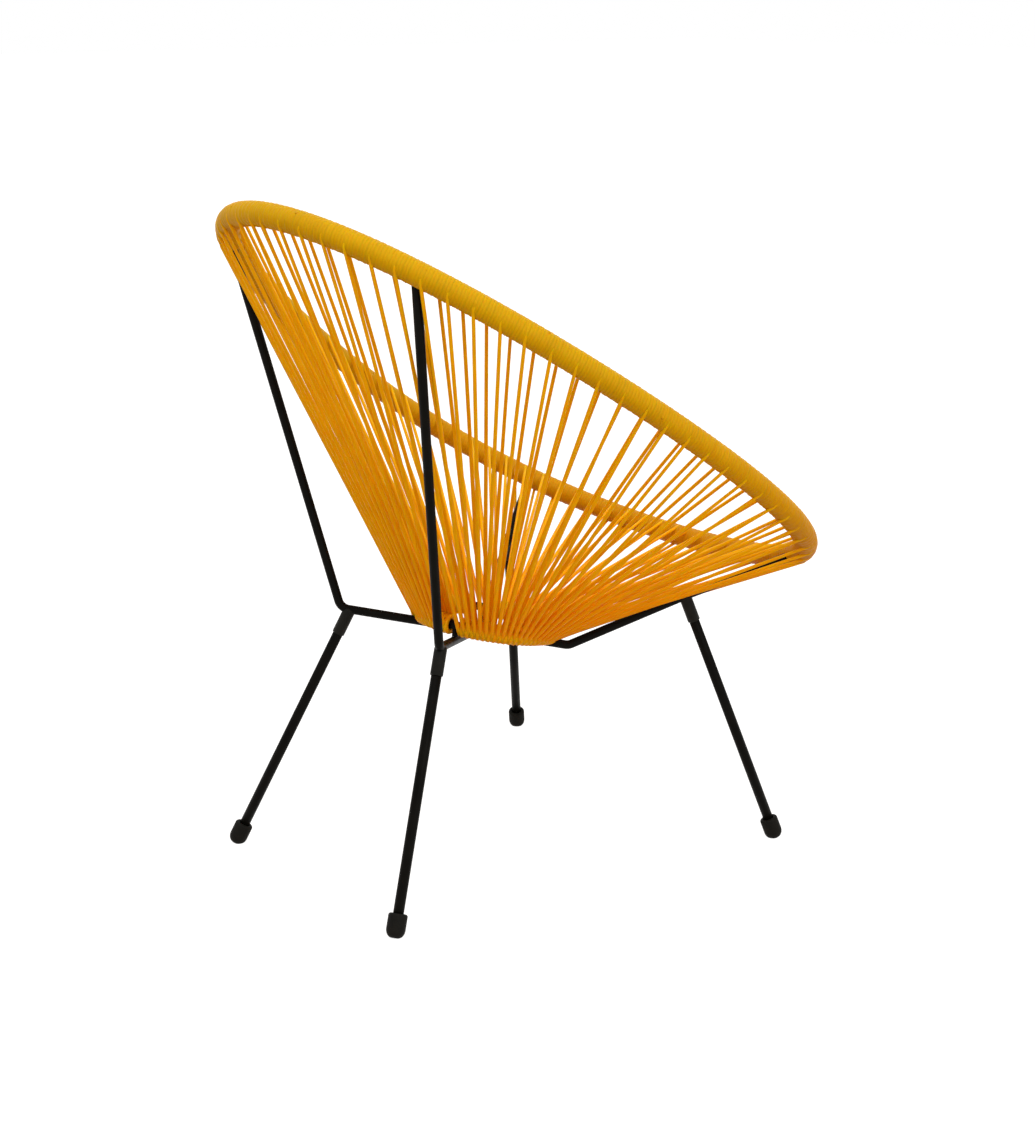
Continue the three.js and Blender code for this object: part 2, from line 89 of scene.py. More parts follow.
def addWear(material, shader, finish):  # a sheen that is duller here and there
    tree = material.node_tree
    wear = addNoise(material, finish["wearScale"], finish["wearDetail"])
    rough = tree.nodes.new("ShaderNodeMapRange")
    rough.inputs["From Min"].default_value = noiseSpread["wearLow"]
    rough.inputs["From Max"].default_value = noiseSpread["wearHigh"]
    rough.inputs["To Min"].default_value = finish["roughLow"]
    rough.inputs["To Max"].default_value = finish["roughHigh"]
    tree.links.new(wear, rough.inputs["Value"])
    tree.links.new(rough.outputs["Result"], shader.inputs["Roughness"])
    shader.inputs["Specular IOR Level"].default_value = finish["specular"]


def addGrain(material, shader, finish):
    tree = material.node_tree
    grain = addNoise(material, finish["grainScale"], finish["grainDetail"])
    bump = tree.nodes.new("ShaderNodeBump")
    bump.inputs["Strength"].default_value = finish["grainStrength"]
    bump.inputs["Distance"].default_value = finish["grainDepth"]
    tree.links.new(grain, bump.inputs["Height"])
    tree.links.new(bump.outputs["Normal"], shader.inputs["Normal"])


def addHeightShare(material, low, high):  # 0 at the low height and below, 1 at the high one
    tree = material.node_tree
    place = tree.nodes.new("ShaderNodeTexCoord")
    parts = tree.nodes.new("ShaderNodeSeparateXYZ")
    tree.links.new(place.outputs["Object"], parts.inputs["Vector"])
    share = tree.nodes.new("ShaderNodeMapRange")
    share.inputs["From Min"].default_value = low
    share.inputs["From Max"].default_value = high
    tree.links.new(parts.outputs["Z"], share.inputs["Value"])
    return share.outputs["Result"]


# PVC, coloured right through. It lets a little light in. Lower down its colour is painted a
# deeper orange: painted shade for the darker, warmer light low in the seat and low on the wound
# ring.
cordFinish = {
    "patchScale": 26,
    "patchDetail": 3,
    "wearScale": 104,
    "wearDetail": 4,
    "roughLow": 0.36,
    "roughHigh": 0.5,
    "specular": 0.07,
    "grainScale": 700,
    "grainDetail": 2,
    "grainStrength": 1,
    "grainDepth": 0.02 * mm,
    "glowReach": (1, 0.35, 0.05),  # red light goes furthest in
    "glowDepth": 4 * mm,
}
strungFinish = {
    "shade": (0.82, 0.43, 0.0),
    "tint": (0.88, 0.475, 0.0),
    # the low colours are painted shade: deeper orange low in the seat
    "lowPaintedShade": (0.96, 0.345, 0.0),
    "lowPaintedTint": (1.0, 0.39, 0.0),
    "paintedShadeFullHeight": 270 * mm,
    "paintedShadeEndHeight": 420 * mm,
    "glow": 0.7,
}
# The wound cord is the same cord as the strung one, painted darker: a painted shade.
woundShadedFinish = {
    "shade": (0.63, 0.33, 0.0),
    "tint": (0.69, 0.365, 0.0),
    # the low colours are painted shade: more orange where the wound ring runs low
    "lowPaintedShade": (0.63, 0.235, 0.0),
    "lowPaintedTint": (0.69, 0.265, 0.0),
    "paintedShadeFullHeight": 300 * mm,
    "paintedShadeEndHeight": 700 * mm,
    "glow": 0.3,
}


def cordMaterial(name, finish):
    material, shader = newMaterial(name)
    tree = material.node_tree
    patches = addNoise(material, cordFinish["patchScale"], cordFinish["patchDetail"])
    # painted shade: lower down the colour blends into the deeper low colours
    paintedShadeColour = addColours(material, patches, finish["lowPaintedShade"], finish["lowPaintedTint"])
    highColour = addColours(material, patches, finish["shade"], finish["tint"])
    paintedShadeBlend = tree.nodes.new("ShaderNodeMix")
    paintedShadeBlend.data_type = "RGBA"
    height = addHeightShare(material, finish["paintedShadeFullHeight"], finish["paintedShadeEndHeight"])
    tree.links.new(height, paintedShadeBlend.inputs["Factor"])
    tree.links.new(paintedShadeColour, paintedShadeBlend.inputs["A"])
    tree.links.new(highColour, paintedShadeBlend.inputs["B"])
    tree.links.new(paintedShadeBlend.outputs["Result"], shader.inputs["Base Color"])
    shader.inputs["Subsurface Weight"].default_value = finish["glow"]
    shader.inputs["Subsurface Radius"].default_value = cordFinish["glowReach"]
    shader.inputs["Subsurface Scale"].default_value = cordFinish["glowDepth"]
    addWear(material, shader, cordFinish)
    addGrain(material, shader, cordFinish)
    return material


# Satin black powder coat with its fine orange peel. On the sockets it is painted a little
# lighter: a painted highlight.
steelFinish = {
    "shade": (0.0022, 0.0019, 0.0012),
    "tint": (0.0045, 0.004, 0.003),
    "patchScale": 40,
    "patchDetail": 4,
    "wearScale": 120,
    "wearDetail": 3,
    "roughLow": 0.36,
    "roughHigh": 0.48,
    "specular": 0.05,
    "grainScale": 1400,
    "grainDetail": 2,
    "grainStrength": 0.6,
    "grainDepth": 0.05 * mm,
}
# painted highlight: the sockets' coat is made lighter than the rest of the steel
socketHighlightFinish = {
    **steelFinish,
    "shade": (0.011, 0.0115, 0.0105),
    "tint": (0.017, 0.0175, 0.016),
}

# Moulded black rubber with a dull skin.
rubberFinish = {
    "shade": (0.0065, 0.0065, 0.0055),
    "tint": (0.0105, 0.0102, 0.0088),
    "patchScale": 90,
    "patchDetail": 4,
    "wearScale": 90,
    "wearDetail": 4,
    "roughLow": 0.5,
    "roughHigh": 0.68,
    "specular": 0.06,
    "grainScale": 900,
    "grainDetail": 3,
    "grainStrength": 0.7,
    "grainDepth": 0.08 * mm,
}


def blackMaterial(name, finish):
    material, shader = newMaterial(name)
    patches = addNoise(material, finish["patchScale"], finish["patchDetail"])
    colour = addColours(material, patches, finish["shade"], finish["tint"])
    material.node_tree.links.new(colour, shader.inputs["Base Color"])
    addWear(material, shader, finish)
    addGrain(material, shader, finish)
    return material


cordLook = cordMaterial("amber_pvc_cord", strungFinish)
wrapShadedLook = cordMaterial("amber_pvc_wrap_shaded", woundShadedFinish)
steelLook = blackMaterial("black_powder_coat", steelFinish)
socketHighlightLook = blackMaterial("black_socket_painted_highlight", socketHighlightFinish)
rubberLook = blackMaterial("black_rubber", rubberFinish)
print("materials made")


def finishPiece(name, mesh, look, slotName, *nodes):
    piece = bpy.data.objects.new(name, mesh)
    bpy.context.scene.collection.objects.link(piece)
    mesh.materials.clear()
    mesh.materials.append(look)
    mesh.polygons.foreach_set("use_smooth", [True] * len(mesh.polygons))
    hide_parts(*nodes)
    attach(piece, "root")


def tubeMesh(name, routes, radius, roundSteps, closed=False, widths=()):
    # round tubes along polyline routes, as one mesh; widths scale the radius point by point
    curve = bpy.data.curves.new(name, "CURVE")
    curve.dimensions = "3D"
    curve.bevel_depth = radius
    curve.bevel_resolution = roundSteps
    curve.use_fill_caps = not closed
    for route in routes:
        spline = curve.splines.new("POLY")
        spline.points.add(len(route) - 1)
        spline.points.foreach_set("co", [value for point in route for value in (*point, 1)])
        spline.use_cyclic_u = closed
    for spline, shares in zip(curve.splines, widths):
        spline.points.foreach_set("radius", shares)
    holder = bpy.data.objects.new(name, curve)
    bpy.context.scene.collection.objects.link(holder)
    graph = bpy.context.evaluated_depsgraph_get()
    mesh = bpy.data.meshes.new_from_object(holder.evaluated_get(graph))
    bpy.data.objects.remove(holder)
    bpy.data.curves.remove(curve)
    return mesh


# The big ring: an egg in a tilted plane, broad at the front. Angle 0 is the front.
seatRing = {
    "halfWidth": 366 * mm,
    "halfLength": 428 * mm,
    "eggShare": 0.253,  # how much broader it grows towards the front
    "endShare": 0.103,  # how much fuller it is at both ends
    "tilt": math.radians(36.3),
    "centreHeight": 601.5 * mm,
    "tubeRadius": 11 * mm,
    "samples": 2880,
}
ringNormal = Vector((0, -math.sin(seatRing["tilt"]), math.cos(seatRing["tilt"])))


def ringPoint(angle):
    cosine = math.cos(angle)
    egg = 1 + seatRing["eggShare"] * cosine + seatRing["endShare"] * cosine**2
    across = seatRing["halfWidth"] * math.sin(angle) * egg
    forward = seatRing["halfLength"] * cosine
    height = seatRing["centreHeight"] - forward * math.sin(seatRing["tilt"])
    return Vector((across, -forward * math.cos(seatRing["tilt"]), height))


def ringLengths():
    lengths = [0.0]
    last = ringPoint(0)
    for i in range(1, seatRing["samples"] + 1):
        point = ringPoint(math.tau * i / seatRing["samples"])
        lengths.append(lengths[-1] + (point - last).length)
        last = point
    return lengths


lengthsRound = ringLengths()
ringLength = lengthsRound[-1]


def ringShareOf(angle):
    place = angle / math.tau * seatRing["samples"]
    index = int(place)
    low, high = lengthsRound[index], lengthsRound[index + 1]
    return (low + (high - low) * (place - index)) / ringLength


def ringAt(share):  # a point on the ring and the way it runs there
    length = (share % 1) * ringLength
    index = min(bisect.bisect_right(lengthsRound, length), seatRing["samples"]) - 1
    low, high = lengthsRound[index], lengthsRound[index + 1]
    angle = math.tau * (index + (length - low) / (high - low)) / seatRing["samples"]
    step = math.tau / seatRing["samples"]
    way = (ringPoint(angle + step) - ringPoint(angle - step)).normalized()
    return ringPoint(angle), way


# The small ring under the sitter.
innerRing = {
    "radius": 90 * mm,
    "rodRadius": 5.6 * mm,
    "tilt": math.radians(12.24),
    "centreY": 20 * mm,
    "height": 299.6 * mm,
    "steps": 96,
    "roundSteps": 6,
}


def innerAt(angle):
    tilt = innerRing["tilt"]
    back = -innerRing["radius"] * math.cos(angle)
    centre = Vector((0, innerRing["centreY"], innerRing["height"]))
    across = Vector((innerRing["radius"] * math.sin(angle), 0, 0))
    point = centre + across + Vector((0, back * math.cos(tilt), back * math.sin(tilt)))
    rise = math.sin(angle)
    way = Vector((math.cos(angle), rise * math.cos(tilt), rise * math.sin(tilt)))
    return point, way


# Two bent rods, one over the other where they cross. Corners are given for the +X side.
rods = {
    "radius": 5.8 * mm,
    "bendRadius": 16 * mm,
    "bendSteps": 12,
    "roundSteps": 8,
    "backAngle": math.radians(142.6),
    "frontAngle": math.radians(35.3),
    "backElbow": Vector((105.8, 182, 322.8)) * mm,
    "frontElbow": Vector((183.2, -168, 339.5)) * mm,
    "upperKnee": Vector((92.5, -42.4, 274.1)) * mm,
    "lowerKnee": Vector((92.5, -42.4, 250.7)) * mm,
}


def onSide(point, side):
    return Vector((side * point.x, point.y, point.z))


def bentRoute(corners, bendRadius, steps):
    route = [corners[0]]
    for before, corner, after in zip(corners, corners[1:], corners[2:]):
        inward = (before - corner).normalized()
        outward = (after - corner).normalized()
        half = inward.angle(outward) / 2
        centre = corner + (inward + outward).normalized() * bendRadius / math.sin(half)
        first = corner + inward * bendRadius / math.tan(half) - centre
        last = corner + outward * bendRadius / math.tan(half) - centre
        for i in range(steps + 1):
            spoke = first.normalized().slerp(last.normalized(), i / steps)
            route.append(centre + spoke.normalized() * bendRadius)
    route.append(corners[-1])
    return route


def rodRoute(side, knee):
    backTop = ringAt(ringShareOf(rods["backAngle"]))[0]
    frontTop = ringAt(ringShareOf(rods["frontAngle"]))[0]
    corners = [
        onSide(backTop, side),
        onSide(rods["backElbow"], side),
        onSide(knee, -side),
        onSide(rods["frontElbow"], -side),
        onSide(frontTop, -side),
    ]
    return bentRoute(corners, rods["bendRadius"], rods["bendSteps"])


rodSides = {"upper": 1, "lower": -1}
rodRoutes = {name: rodRoute(side, rods[name + "Knee"]) for name, side in rodSides.items()}
for rodName, route in rodRoutes.items():
    rodMesh = tubeMesh("rod_" + rodName, [route], rods["radius"], rods["roundSteps"])
    finishPiece("rod_" + rodName, rodMesh, steelLook, "frame", "frame_rod_" + rodName)

innerRoute = [innerAt(math.tau * i / innerRing["steps"])[0] for i in range(innerRing["steps"])]
innerMesh = tubeMesh(
    "small_ring", [innerRoute], innerRing["rodRadius"], innerRing["roundSteps"], closed=True
)
finishPiece("small_ring", innerMesh, steelLook, "frame", "inner_ring")
print("rods and small ring made")


# Legs plugged into sockets under the elbows, with rubber caps on their feet.
legs = {
    "backFoot": Vector((177, 306.9, 13)) * mm,  # the middle of its cap
    "frontFoot": Vector((270, -256, 13)) * mm,
    "backInset": 12 * mm,  # from the elbow's corner to the leg, along the rod
    "frontInset": 2 * mm,
    "radius": 6.7 * mm,
    "start": 8 * mm,  # from the rod's middle to the leg's upper end
    "socketRadius": 8.2 * mm,
    "socketLength": 36 * mm,
    "weldRise": 3 * mm,
    "weldInset": 2.5 * mm,
    "edge": 0.7 * mm,
    "capRadius": 12 * mm,
    "capLength": 30 * mm,
    "capFloor": 11 * mm,
    "capShoulder": 3 * mm,
    "capDome": 11 * mm,
    "capSoleShare": 0.3,
    "clearance": 0.3 * mm,
    "weldSteps": 8,
    "shoulderSteps": 6,
    "domeSteps": 10,
    "turnSteps": 40,
    "mergeGap": 0.01 * mm,
}


def turnedMesh(name, profile):
    # profile: (radius, height) from one end of the axis to the other
    shape = bmesh.new()
    points = [shape.verts.new((radius, 0, height)) for radius, height in profile]
    edges = [shape.edges.new(pair) for pair in zip(points, points[1:])]
    bmesh.ops.spin(
        shape,
        geom=points + edges,
        cent=(0, 0, 0),
        axis=(0, 0, 1),
        angle=math.tau,
        steps=legs["turnSteps"],
        use_merge=True,
    )
    bmesh.ops.remove_doubles(shape, verts=shape.verts[:], dist=legs["mergeGap"])
    bmesh.ops.recalc_face_normals(shape, faces=shape.faces[:])
    mesh = bpy.data.meshes.new(name)
    shape.to_mesh(mesh)
    shape.free()
    return mesh


def arcPoints(centre, radii, start, end, steps):
    points = []
    for i in range(steps + 1):
        angle = start + (end - start) * i / steps
        radius = centre[0] + radii[0] * math.cos(angle)
        points.append((max(radius, 0), centre[1] + radii[1] * math.sin(angle)))
    return points


def socketProfile():
    outer, length, edge = legs["socketRadius"], legs["socketLength"], legs["edge"]
    bore = legs["radius"] + legs["clearance"]
    inset = legs["weldInset"]
    radii = (outer, legs["weldRise"] + inset)
    weld = arcPoints((0, inset), radii, -math.pi / 2, 0, legs["weldSteps"])
    mouth = [(outer, length - edge), (outer - edge, length), (bore, length)]
    return [*weld, *mouth, (bore, length - legs["start"])]


def legProfile(length):
    radius, edge = legs["radius"], legs["edge"]
    top = legs["start"]
    return [
        (0, top),
        (radius - edge, top),
        (radius, top + edge),
        (radius, length - edge),
        (radius - edge, length),
        (0, length),
    ]


def capProfile():
    # from the mouth round the skin to the middle of the sole
    radius, length, edge = legs["capRadius"], legs["capLength"], legs["edge"]
    bore = legs["radius"] + legs["clearance"]
    shoulder, dome = legs["capShoulder"], legs["capDome"]
    sole = radius * legs["capSoleShare"]
    shoulderCentre = (radius - shoulder, shoulder)
    domeCentre = (sole, length - dome)
    mouth = [(bore, legs["capFloor"]), (bore, edge), (bore + edge, 0)]
    top = arcPoints(shoulderCentre, (shoulder, shoulder), -math.pi / 2, 0, legs["shoulderSteps"])
    bottom = arcPoints(domeCentre, (radius - sole, dome), 0, math.pi / 2, legs["domeSteps"])
    return [*mouth, *top, *bottom, (0, length)]


def placeAlong(mesh, start, along):
    turn = Vector((0, 0, 1)).rotation_difference(along).to_matrix().to_4x4()
    mesh.transform(Matrix.Translation(start) @ turn)


def cutFlatAtFloor(mesh):
    shape = bmesh.new()
    shape.from_mesh(mesh)
    geometry = shape.verts[:] + shape.edges[:] + shape.faces[:]
    cut = bmesh.ops.bisect_plane(
        shape, geom=geometry, plane_co=(0, 0, 0), plane_no=(0, 0, -1), clear_outer=True
    )
    edges = [item for item in cut["geom_cut"] if isinstance(item, bmesh.types.BMEdge)]
    if edges:
        bmesh.ops.holes_fill(shape, edges=edges)
    shape.to_mesh(mesh)
    shape.free()


def legLine(end, side):
    # from its rod, a little past the elbow towards the knee, to its foot
    kneeSide = -side if end == "back" else side
    knee = rods["lowerKnee" if kneeSide > 0 else "upperKnee"]
    root = onSide(rods[end + "Elbow"], side)
    root += (onSide(knee, kneeSide) - root).normalized() * legs[end + "Inset"]
    tip = onSide(legs[end + "Foot"], side)
    return root, tip, (tip - root).normalized()


def makeLeg(name, root, tip, along):
    capStart = tip - along * legs["capLength"] / 2
    legEnd = (capStart - root).length + legs["capFloor"]
    socket = turnedMesh("socket_" + name, socketProfile())
    placeAlong(socket, root, along)
    finishPiece("socket_" + name, socket, socketHighlightLook, "frame", "leg_socket_" + name)
    leg = turnedMesh("leg_tube_" + name, legProfile(legEnd))
    placeAlong(leg, root, along)
    finishPiece("leg_tube_" + name, leg, steelLook, "frame", "leg_" + name)
    cap = turnedMesh("cap_" + name, capProfile())
    placeAlong(cap, capStart, along)
    cutFlatAtFloor(cap)
    finishPiece("cap_" + name, cap, rubberLook, "rubber", "foot_cap_" + name)


legLines = {}
for end in ("back", "front"):
    for sideName, side in (("left", 1), ("right", -1)):
        legLines[f"{end}_{sideName}"] = legLine(end, side)
for legName, line in legLines.items():
    makeLeg(legName, *line)
print("legs, sockets and caps made")


# Where each rod passes the small ring, seen from above, as angles round it.
def crossingAngles(side, knee):
    start = Vector((side * rods["backElbow"].x, rods["backElbow"].y - innerRing["centreY"]))
    end = Vector((-side * knee.x, knee.y - innerRing["centreY"]))
    way = (end - start).normalized()
    nearest = -start.dot(way)
    offset = (start + way * nearest).length
    half = math.sqrt(innerRing["radius"] ** 2 - offset**2)
    places = [start + way * (nearest - half), start + way * (nearest + half)]
    return [math.atan2(place.x, -place.y) for place in places]


# Cord: pairs strung from the big ring to the small one, and turns wound side by side.
cord = {
    "radius": 2.1 * mm,
    "roundSteps": 2,
    "unevenSeed": 7,
    "wrapPitch": 4 * mm,
    "wrapRadius": 5.4 * mm,  # wound turns are pressed flat, so they bulge less than a loose cord
    "pairPitch": 31.8 * mm,
    "pairGap": 8 * mm,
    "sectors": (4, 5, 3, 5),  # front, one side, back and the other side
    "notch": 14 * mm,  # left free of loops where a rod passes the small ring
    "wrapSteps": 16,
    "wrapUneven": 0.08 * mm,
    "strandUneven": 0.9 * mm,
    "saddleAngle": math.radians(55),  # how far a strand's end reaches round the wound ring
    "saddleLift": 0.5 * mm,
    "saddleSink": 1.3 * mm,
    "saddleSteps": 10,
    "loopTurns": 1.5,
    "loopSteps": 30,
    "loopRadius": 2.85 * mm,  # the cord is pressed wider where it loops
    "loopLift": 1.2 * mm,
    "loopClimb": 0.8 * mm,
    "loopSwell": 0.2,
}
random.seed(cord["unevenSeed"])


def cordSpans():
    front = ringShareOf(rods["frontAngle"])
    back = ringShareOf(rods["backAngle"])
    ends = [-front, front, back, 1 - back, 1 - front]
    spans = []
    firstPair = 0
    for start, end, sectors in zip(ends, ends[1:], cord["sectors"]):
        pairs = round((end - start) * ringLength / cord["pairPitch"])
        # each sector ends at a whole pair, and halves go up as they do in the CAD
        edges = [math.floor(i * pairs / sectors + 1 / 2) for i in range(sectors + 1)]
        bounds = list(zip(edges, edges[1:]))
        span = {"start": start, "end": end, "pairs": pairs, "firstPair": firstPair}
        spans.append({**span, "sectors": bounds})
        firstPair += pairs
    return spans


spans = cordSpans()
pairCount = sum(span["pairs"] for span in spans)
notchAngle = cord["notch"] / 2 / innerRing["radius"]


def ringShareOfPair(span, pair):
    return span["start"] + (span["end"] - span["start"]) * pair / span["pairs"]


def crossingBreaks():
    # each break is a rod's crossing: its angle, and how many pairs come before it
    angles = []
    for name, side in rodSides.items():
        angles += crossingAngles(side, rods[name + "Knee"])
    density = pairCount / (math.tau - 2 * notchAngle * len(angles))
    offset = spans[0]["pairs"] / 2 % 1  # pairs are counted from the middle of the front
    breaks = []
    for angle in angles:
        passed = [other for other in angles if other * angle > 0 and abs(other) < abs(angle)]
        free = abs(angle) - notchAngle * (2 * len(passed) + 1)
        pairs = round(free * density - offset) + offset
        breaks.append((angle, math.copysign(pairs, angle)))
    breaks.sort()
    first, last = breaks[0], breaks[-1]
    before = (last[0] - math.tau, last[1] - pairCount)
    after = (first[0] + math.tau, first[1] + pairCount)
    return [before, *breaks, after]


loopBreaks = crossingBreaks()


def innerAngleOfPair(span, pair, shift):
    # shift is in pairs and may not carry the angle over a notch
    place = span["firstPair"] + pair - spans[0]["pairs"] / 2
    if place > pairCount / 2:
        place -= pairCount
    for (lowAngle, low), (highAngle, high) in zip(loopBreaks, loopBreaks[1:]):
        if low <= place < high:
            share = (place + shift - low) / (high - low)
            start, end = lowAngle + notchAngle, highAngle - notchAngle
            return start + (end - start) * share


def wrapRoute(start, end):
    # the cord's helix round the big ring, one turn beside the next
    turns = round(ringLength / cord["wrapPitch"])
    first = math.floor(start * turns * cord["wrapSteps"])
    last = math.floor(end * turns * cord["wrapSteps"])
    route = []
    uneven = 0
    for i in range(first, last + 1):
        if i % cord["wrapSteps"] == 0:
            uneven = random.uniform(-1, 1) * cord["wrapUneven"]
        point, way = ringAt(i / (turns * cord["wrapSteps"]))
        angle = -math.tau * i / cord["wrapSteps"]
        reach = seatRing["tubeRadius"] + 2 * cord["radius"] - cord["wrapRadius"] + uneven
        around = way.cross(ringNormal) * math.cos(angle) + ringNormal * math.sin(angle)
        route.append(point + around * reach + way * uneven)
    return route


def saddleRoute(share, towards, layer):
    # a strand's end, laid over the wound ring and sinking among its turns
    point, way = ringAt(share)
    down = (towards - point).normalized()
    out = down.cross(way).normalized() * layer
    drift = down.dot(way)
    level = (down - way * drift).normalized()
    slope = drift / math.sqrt(1 - drift**2)
    route = []
    for i in range(cord["saddleSteps"] + 1):
        passed = i / cord["saddleSteps"]
        angle = cord["saddleAngle"] * (1 - passed)
        lift = -cord["saddleSink"] + (cord["saddleLift"] + cord["saddleSink"]) * passed
        reach = seatRing["tubeRadius"] + cord["radius"] + lift
        slide = slope * reach * angle * (1 - angle / cord["saddleAngle"] / 2)
        around = out * math.cos(angle) - level * math.sin(angle)
        route.append(point + around * reach - way * slide)
    return route


def loopWidths():
    # pressed widest halfway, where a pair has a single turn to cover the ring
    wide = cord["loopRadius"] / cord["radius"]
    swells = [math.sin(math.pi * i / cord["loopSteps"]) for i in range(cord["loopSteps"] + 1)]
    return [wide * (1 + cord["loopSwell"] * swell) for swell in swells]


def loopRoute(span, pair, down, half):
    # once and a half round the small ring, from the outer strand to the inner one, which stands
    # half a place further. Its turns climb on each other.
    route = []
    for i in range(cord["loopSteps"] + 1):
        turn = cord["loopTurns"] * i / cord["loopSteps"]
        climb = cord["loopLift"] + cord["loopClimb"] * i / cord["loopSteps"]
        reach = innerRing["rodRadius"] + cord["loopRadius"] + climb
        shift = half * (1 / 4 - min(turn, 1) / 2)
        point, way = innerAt(innerAngleOfPair(span, pair, shift))
        out = down.cross(way).normalized()
        level = way.cross(out)
        angle = turn * math.tau
        route.append(point + (out * math.cos(angle) + level * math.sin(angle)) * reach)
    return route


def underSeatBars():
    # the steel that a strand may meet on its way down: straight bars and their radii
    bars = []
    for route in rodRoutes.values():
        bars += [(low, high, rods["radius"]) for low, high in zip(route, route[1:])]
    for root, _, along in legLines.values():
        bars.append((root, root + along * legs["socketLength"], legs["socketRadius"]))
    return bars


steelBars = underSeatBars()


def bendPast(start, end):
    # an outer strand that meets such a bar lies against it
    deepest = 0
    bend = []
    for low, high, radius in steelBars:
        meeting = intersect_line_line(start, end, low, high)
        if not meeting:
            continue
        share = (meeting[1] - low).dot(high - low) / (high - low).length_squared
        onBar = low.lerp(high, min(max(share, 0), 1))
        onStrand, place = intersect_point_line(onBar, start, end)
        depth = radius + cord["radius"] - (onStrand - onBar).length
        if depth > deepest and 0 < place < 1:
            deepest = depth
            bend = [onBar + (onStrand - onBar).normalized() * (radius + cord["radius"])]
    return bend


def pairRoute(span, pair):
    # the outer strand of a pair stands nearer to the back of the chair
    middle = ringShareOfPair(span, pair)
    half = -1 if ringAt(middle)[0].x < 0 else 1
    shift = half * cord["pairGap"] / 2 / ringLength
    jitter = cord["strandUneven"] / ringLength
    outerShare = middle + shift + random.uniform(-1, 1) * jitter
    innerShare = middle - shift + random.uniform(-1, 1) * jitter
    down = (innerAt(innerAngleOfPair(span, pair, 0))[0] - ringAt(middle)[0]).normalized()
    loop = loopRoute(span, pair, down, half)
    outer = saddleRoute(outerShare, loop[0], 1)
    inner = saddleRoute(innerShare, loop[-1], -1)
    bend = bendPast(outer[-1], loop[0])
    wide = loopWidths()
    widths = [1] * len(outer) + [(1 + wide[0]) / 2] * len(bend) + wide + [1] * len(inner)
    return outer + bend + loop + inner[::-1], widths


def makeSector(number, span, first, last):
    # the wound cord first, then the pairs, each in the middle of its own place
    name = f"{number:02d}"
    wrap = wrapRoute(ringShareOfPair(span, first), ringShareOfPair(span, last))
    wound = tubeMesh("wound_cord_" + name, [wrap], cord["wrapRadius"], cord["roundSteps"])
    finishPiece("wound_cord_" + name, wound, wrapShadedLook, "cord", "cord_sector_" + name)
    pairs = [pairRoute(span, pair + 1 / 2) for pair in range(first, last)]
    routes, widths = zip(*pairs)
    strung = tubeMesh(
        "strung_cord_" + name, routes, cord["radius"], cord["roundSteps"], widths=widths
    )
    finishPiece("strung_cord_" + name, strung, cordLook, "cord", "cord_sector_" + name)


cordSectors = [(span, first, last) for span in spans for first, last in span["sectors"]]
for number, sector in enumerate(cordSectors, 1):
    makeSector(number, *sector)
print("cord sectors made:", len(cordSectors))


# What stays from the frame: the ring tube inside the wrap and the stub under the small ring.
for node in ("seat_ring_tube", "inner_ring_stub"):
    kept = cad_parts[node]
    kept.data.materials.clear()
    kept.data.materials.append(steelLook)


stage = {
    "floorHalf": 30,
    "white": (1, 1, 1, 1),
    "bounce": (0.5, 0.36, 0.24, 1),  # what the floor throws up onto the chair
    "whiteShare": 0.9,
    "shadowTint": (0.35, 0.35, 0.35, 1),
    "ambient": 0.92,
    "ambientTint": (1, 0.95, 0.89, 1),
}


def backgroundShare(tree):
    # 1 for what the camera, a mirror or a glass sees, 0 for the light on the chair
    path = tree.nodes.new("ShaderNodeLightPath")
    both = tree.nodes.new("ShaderNodeMath")
    both.operation = "MAXIMUM"
    tree.links.new(path.outputs["Is Camera Ray"], both.inputs[0])
    tree.links.new(path.outputs["Is Glossy Ray"], both.inputs[1])
    every = tree.nodes.new("ShaderNodeMath")
    every.operation = "MAXIMUM"
    tree.links.new(both.outputs["Value"], every.inputs[0])
    tree.links.new(path.outputs["Is Transmission Ray"], every.inputs[1])
    return every.outputs["Value"]


def makeWorld():
    world = bpy.data.worlds.new("studio")
    bpy.context.scene.world = world
    world.use_nodes = True
    tree = world.node_tree
    tree.nodes.clear()
    seen = tree.nodes.new("ShaderNodeBackground")
    seen.inputs["Color"].default_value = stage["white"]
    felt = tree.nodes.new("ShaderNodeBackground")
    felt.inputs["Color"].default_value = stage["ambientTint"]
    felt.inputs["Strength"].default_value = stage["ambient"]
    mix = tree.nodes.new("ShaderNodeMixShader")
    output = tree.nodes.new("ShaderNodeOutputWorld")
    tree.links.new(backgroundShare(tree), mix.inputs["Fac"])
    tree.links.new(felt.outputs["Background"], mix.inputs[1])
    tree.links.new(seen.outputs["Background"], mix.inputs[2])
    tree.links.new(mix.outputs["Shader"], output.inputs["Surface"])


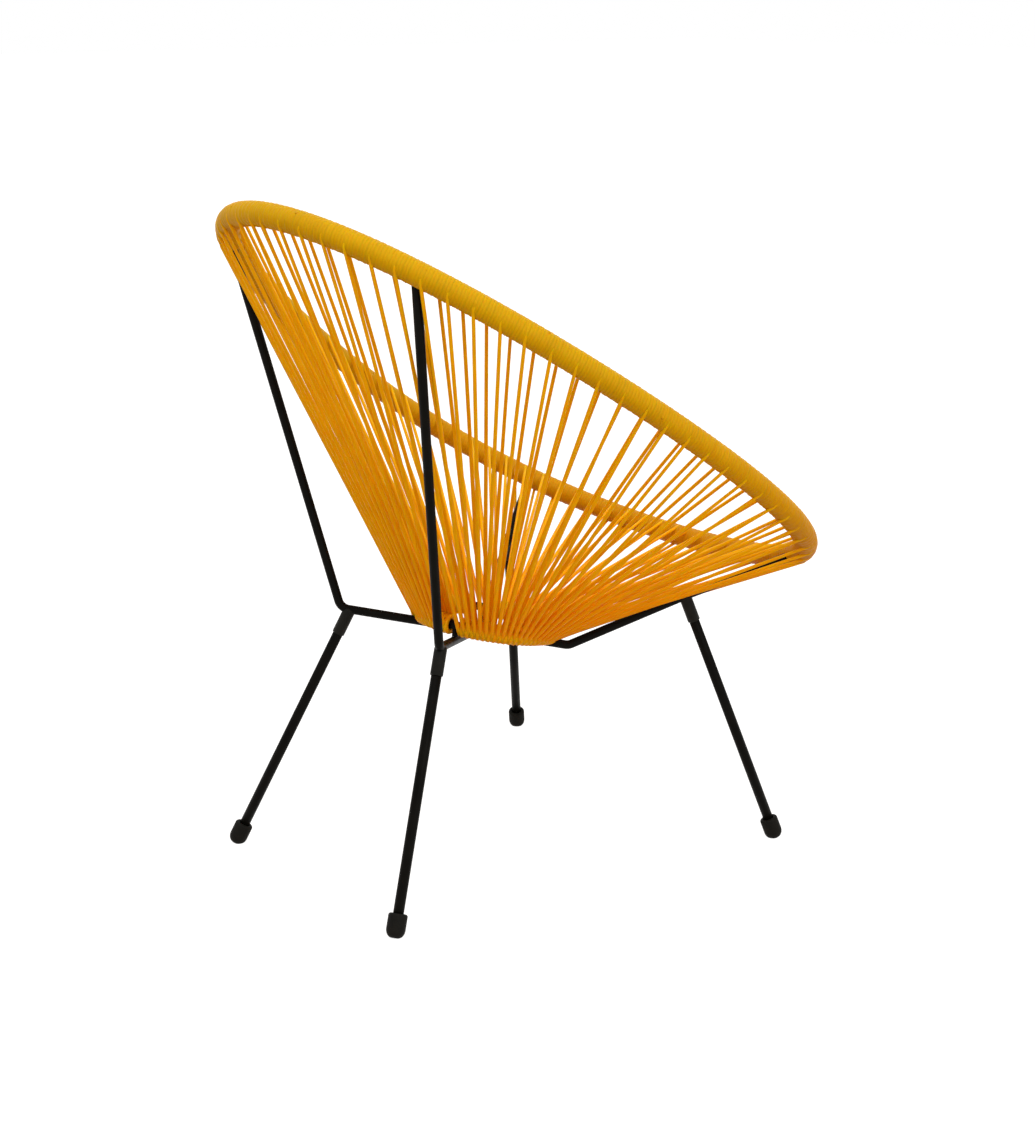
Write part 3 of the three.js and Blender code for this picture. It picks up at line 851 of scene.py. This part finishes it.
def floorMaterial():
    material = bpy.data.materials.new("pale_floor")
    material.use_nodes = True
    tree = material.node_tree
    tree.nodes.clear()
    paper = tree.nodes.new("ShaderNodeBsdfDiffuse")
    paper.inputs["Color"].default_value = stage["bounce"]
    glow = tree.nodes.new("ShaderNodeEmission")
    glow.inputs["Color"].default_value = stage["white"]
    glow.inputs["Strength"].default_value = stage["whiteShare"]
    shade = tree.nodes.new("ShaderNodeBsdfDiffuse")
    shade.inputs["Color"].default_value = stage["shadowTint"]
    seen = tree.nodes.new("ShaderNodeAddShader")
    mix = tree.nodes.new("ShaderNodeMixShader")
    output = tree.nodes.new("ShaderNodeOutputMaterial")
    tree.links.new(glow.outputs["Emission"], seen.inputs[0])
    tree.links.new(shade.outputs["BSDF"], seen.inputs[1])
    tree.links.new(backgroundShare(tree), mix.inputs["Fac"])
    tree.links.new(paper.outputs["BSDF"], mix.inputs[1])
    tree.links.new(seen.outputs["Shader"], mix.inputs[2])
    tree.links.new(mix.outputs["Shader"], output.inputs["Surface"])
    return material


def makeFloor():
    shape = bmesh.new()
    bmesh.ops.create_grid(shape, x_segments=1, y_segments=1, size=stage["floorHalf"])
    mesh = bpy.data.meshes.new("floor")
    shape.to_mesh(mesh)
    shape.free()
    floor = bpy.data.objects.new("floor", mesh)
    bpy.context.scene.collection.objects.link(floor)
    mesh.materials.append(floorMaterial())


# Two soft lamps, with their places and sizes in metres and their power in watts.
lamps = {
    "top": {"place": (-0.6, 0.9, 3.0), "size": 2.4, "power": 18},
    "side": {"place": (-3.0, 0.2, 1.8), "size": 2.0, "power": 20},
}
lampTarget = Vector((0, 0, 0.45))


def makeLamp(name):
    lamp = bpy.data.lights.new(name, "AREA")
    lamp.size = lamps[name]["size"]
    lamp.energy = lamps[name]["power"]
    holder = bpy.data.objects.new(name, lamp)
    bpy.context.scene.collection.objects.link(holder)
    holder.location = lamps[name]["place"]
    aim = lampTarget - holder.location
    holder.rotation_euler = aim.to_track_quat("-Z", "Y").to_euler()


# The photograph's camera: focalPixels is its focal length in pixels of the photograph.
camera = {
    "place": Vector((-1910.8, 1562.6, 1104.2)) * mm,
    "target": Vector((-35, -3.06, 371.65)) * mm,
    "focalPixels": 1943.4,
    "photoHeight": 1140,
    "sensor": 36,  # millimetres, as the lens is
    "clipEnd": 100,
}


def makeCamera():
    data = bpy.data.cameras.new("camera")
    data.sensor_width = camera["sensor"]
    data.lens = camera["focalPixels"] * camera["sensor"] / camera["photoHeight"]
    data.clip_end = camera["clipEnd"]
    holder = bpy.data.objects.new("camera", data)
    bpy.context.scene.collection.objects.link(holder)
    holder.location = camera["place"]
    aim = camera["target"] - camera["place"]
    holder.rotation_euler = aim.to_track_quat("-Z", "Y").to_euler()
    bpy.context.scene.camera = holder


makeWorld()
makeFloor()
for lampName in lamps:
    makeLamp(lampName)
makeCamera()
bpy.context.scene.view_settings.view_transform = "Standard"
print("stage, lamps and camera made")
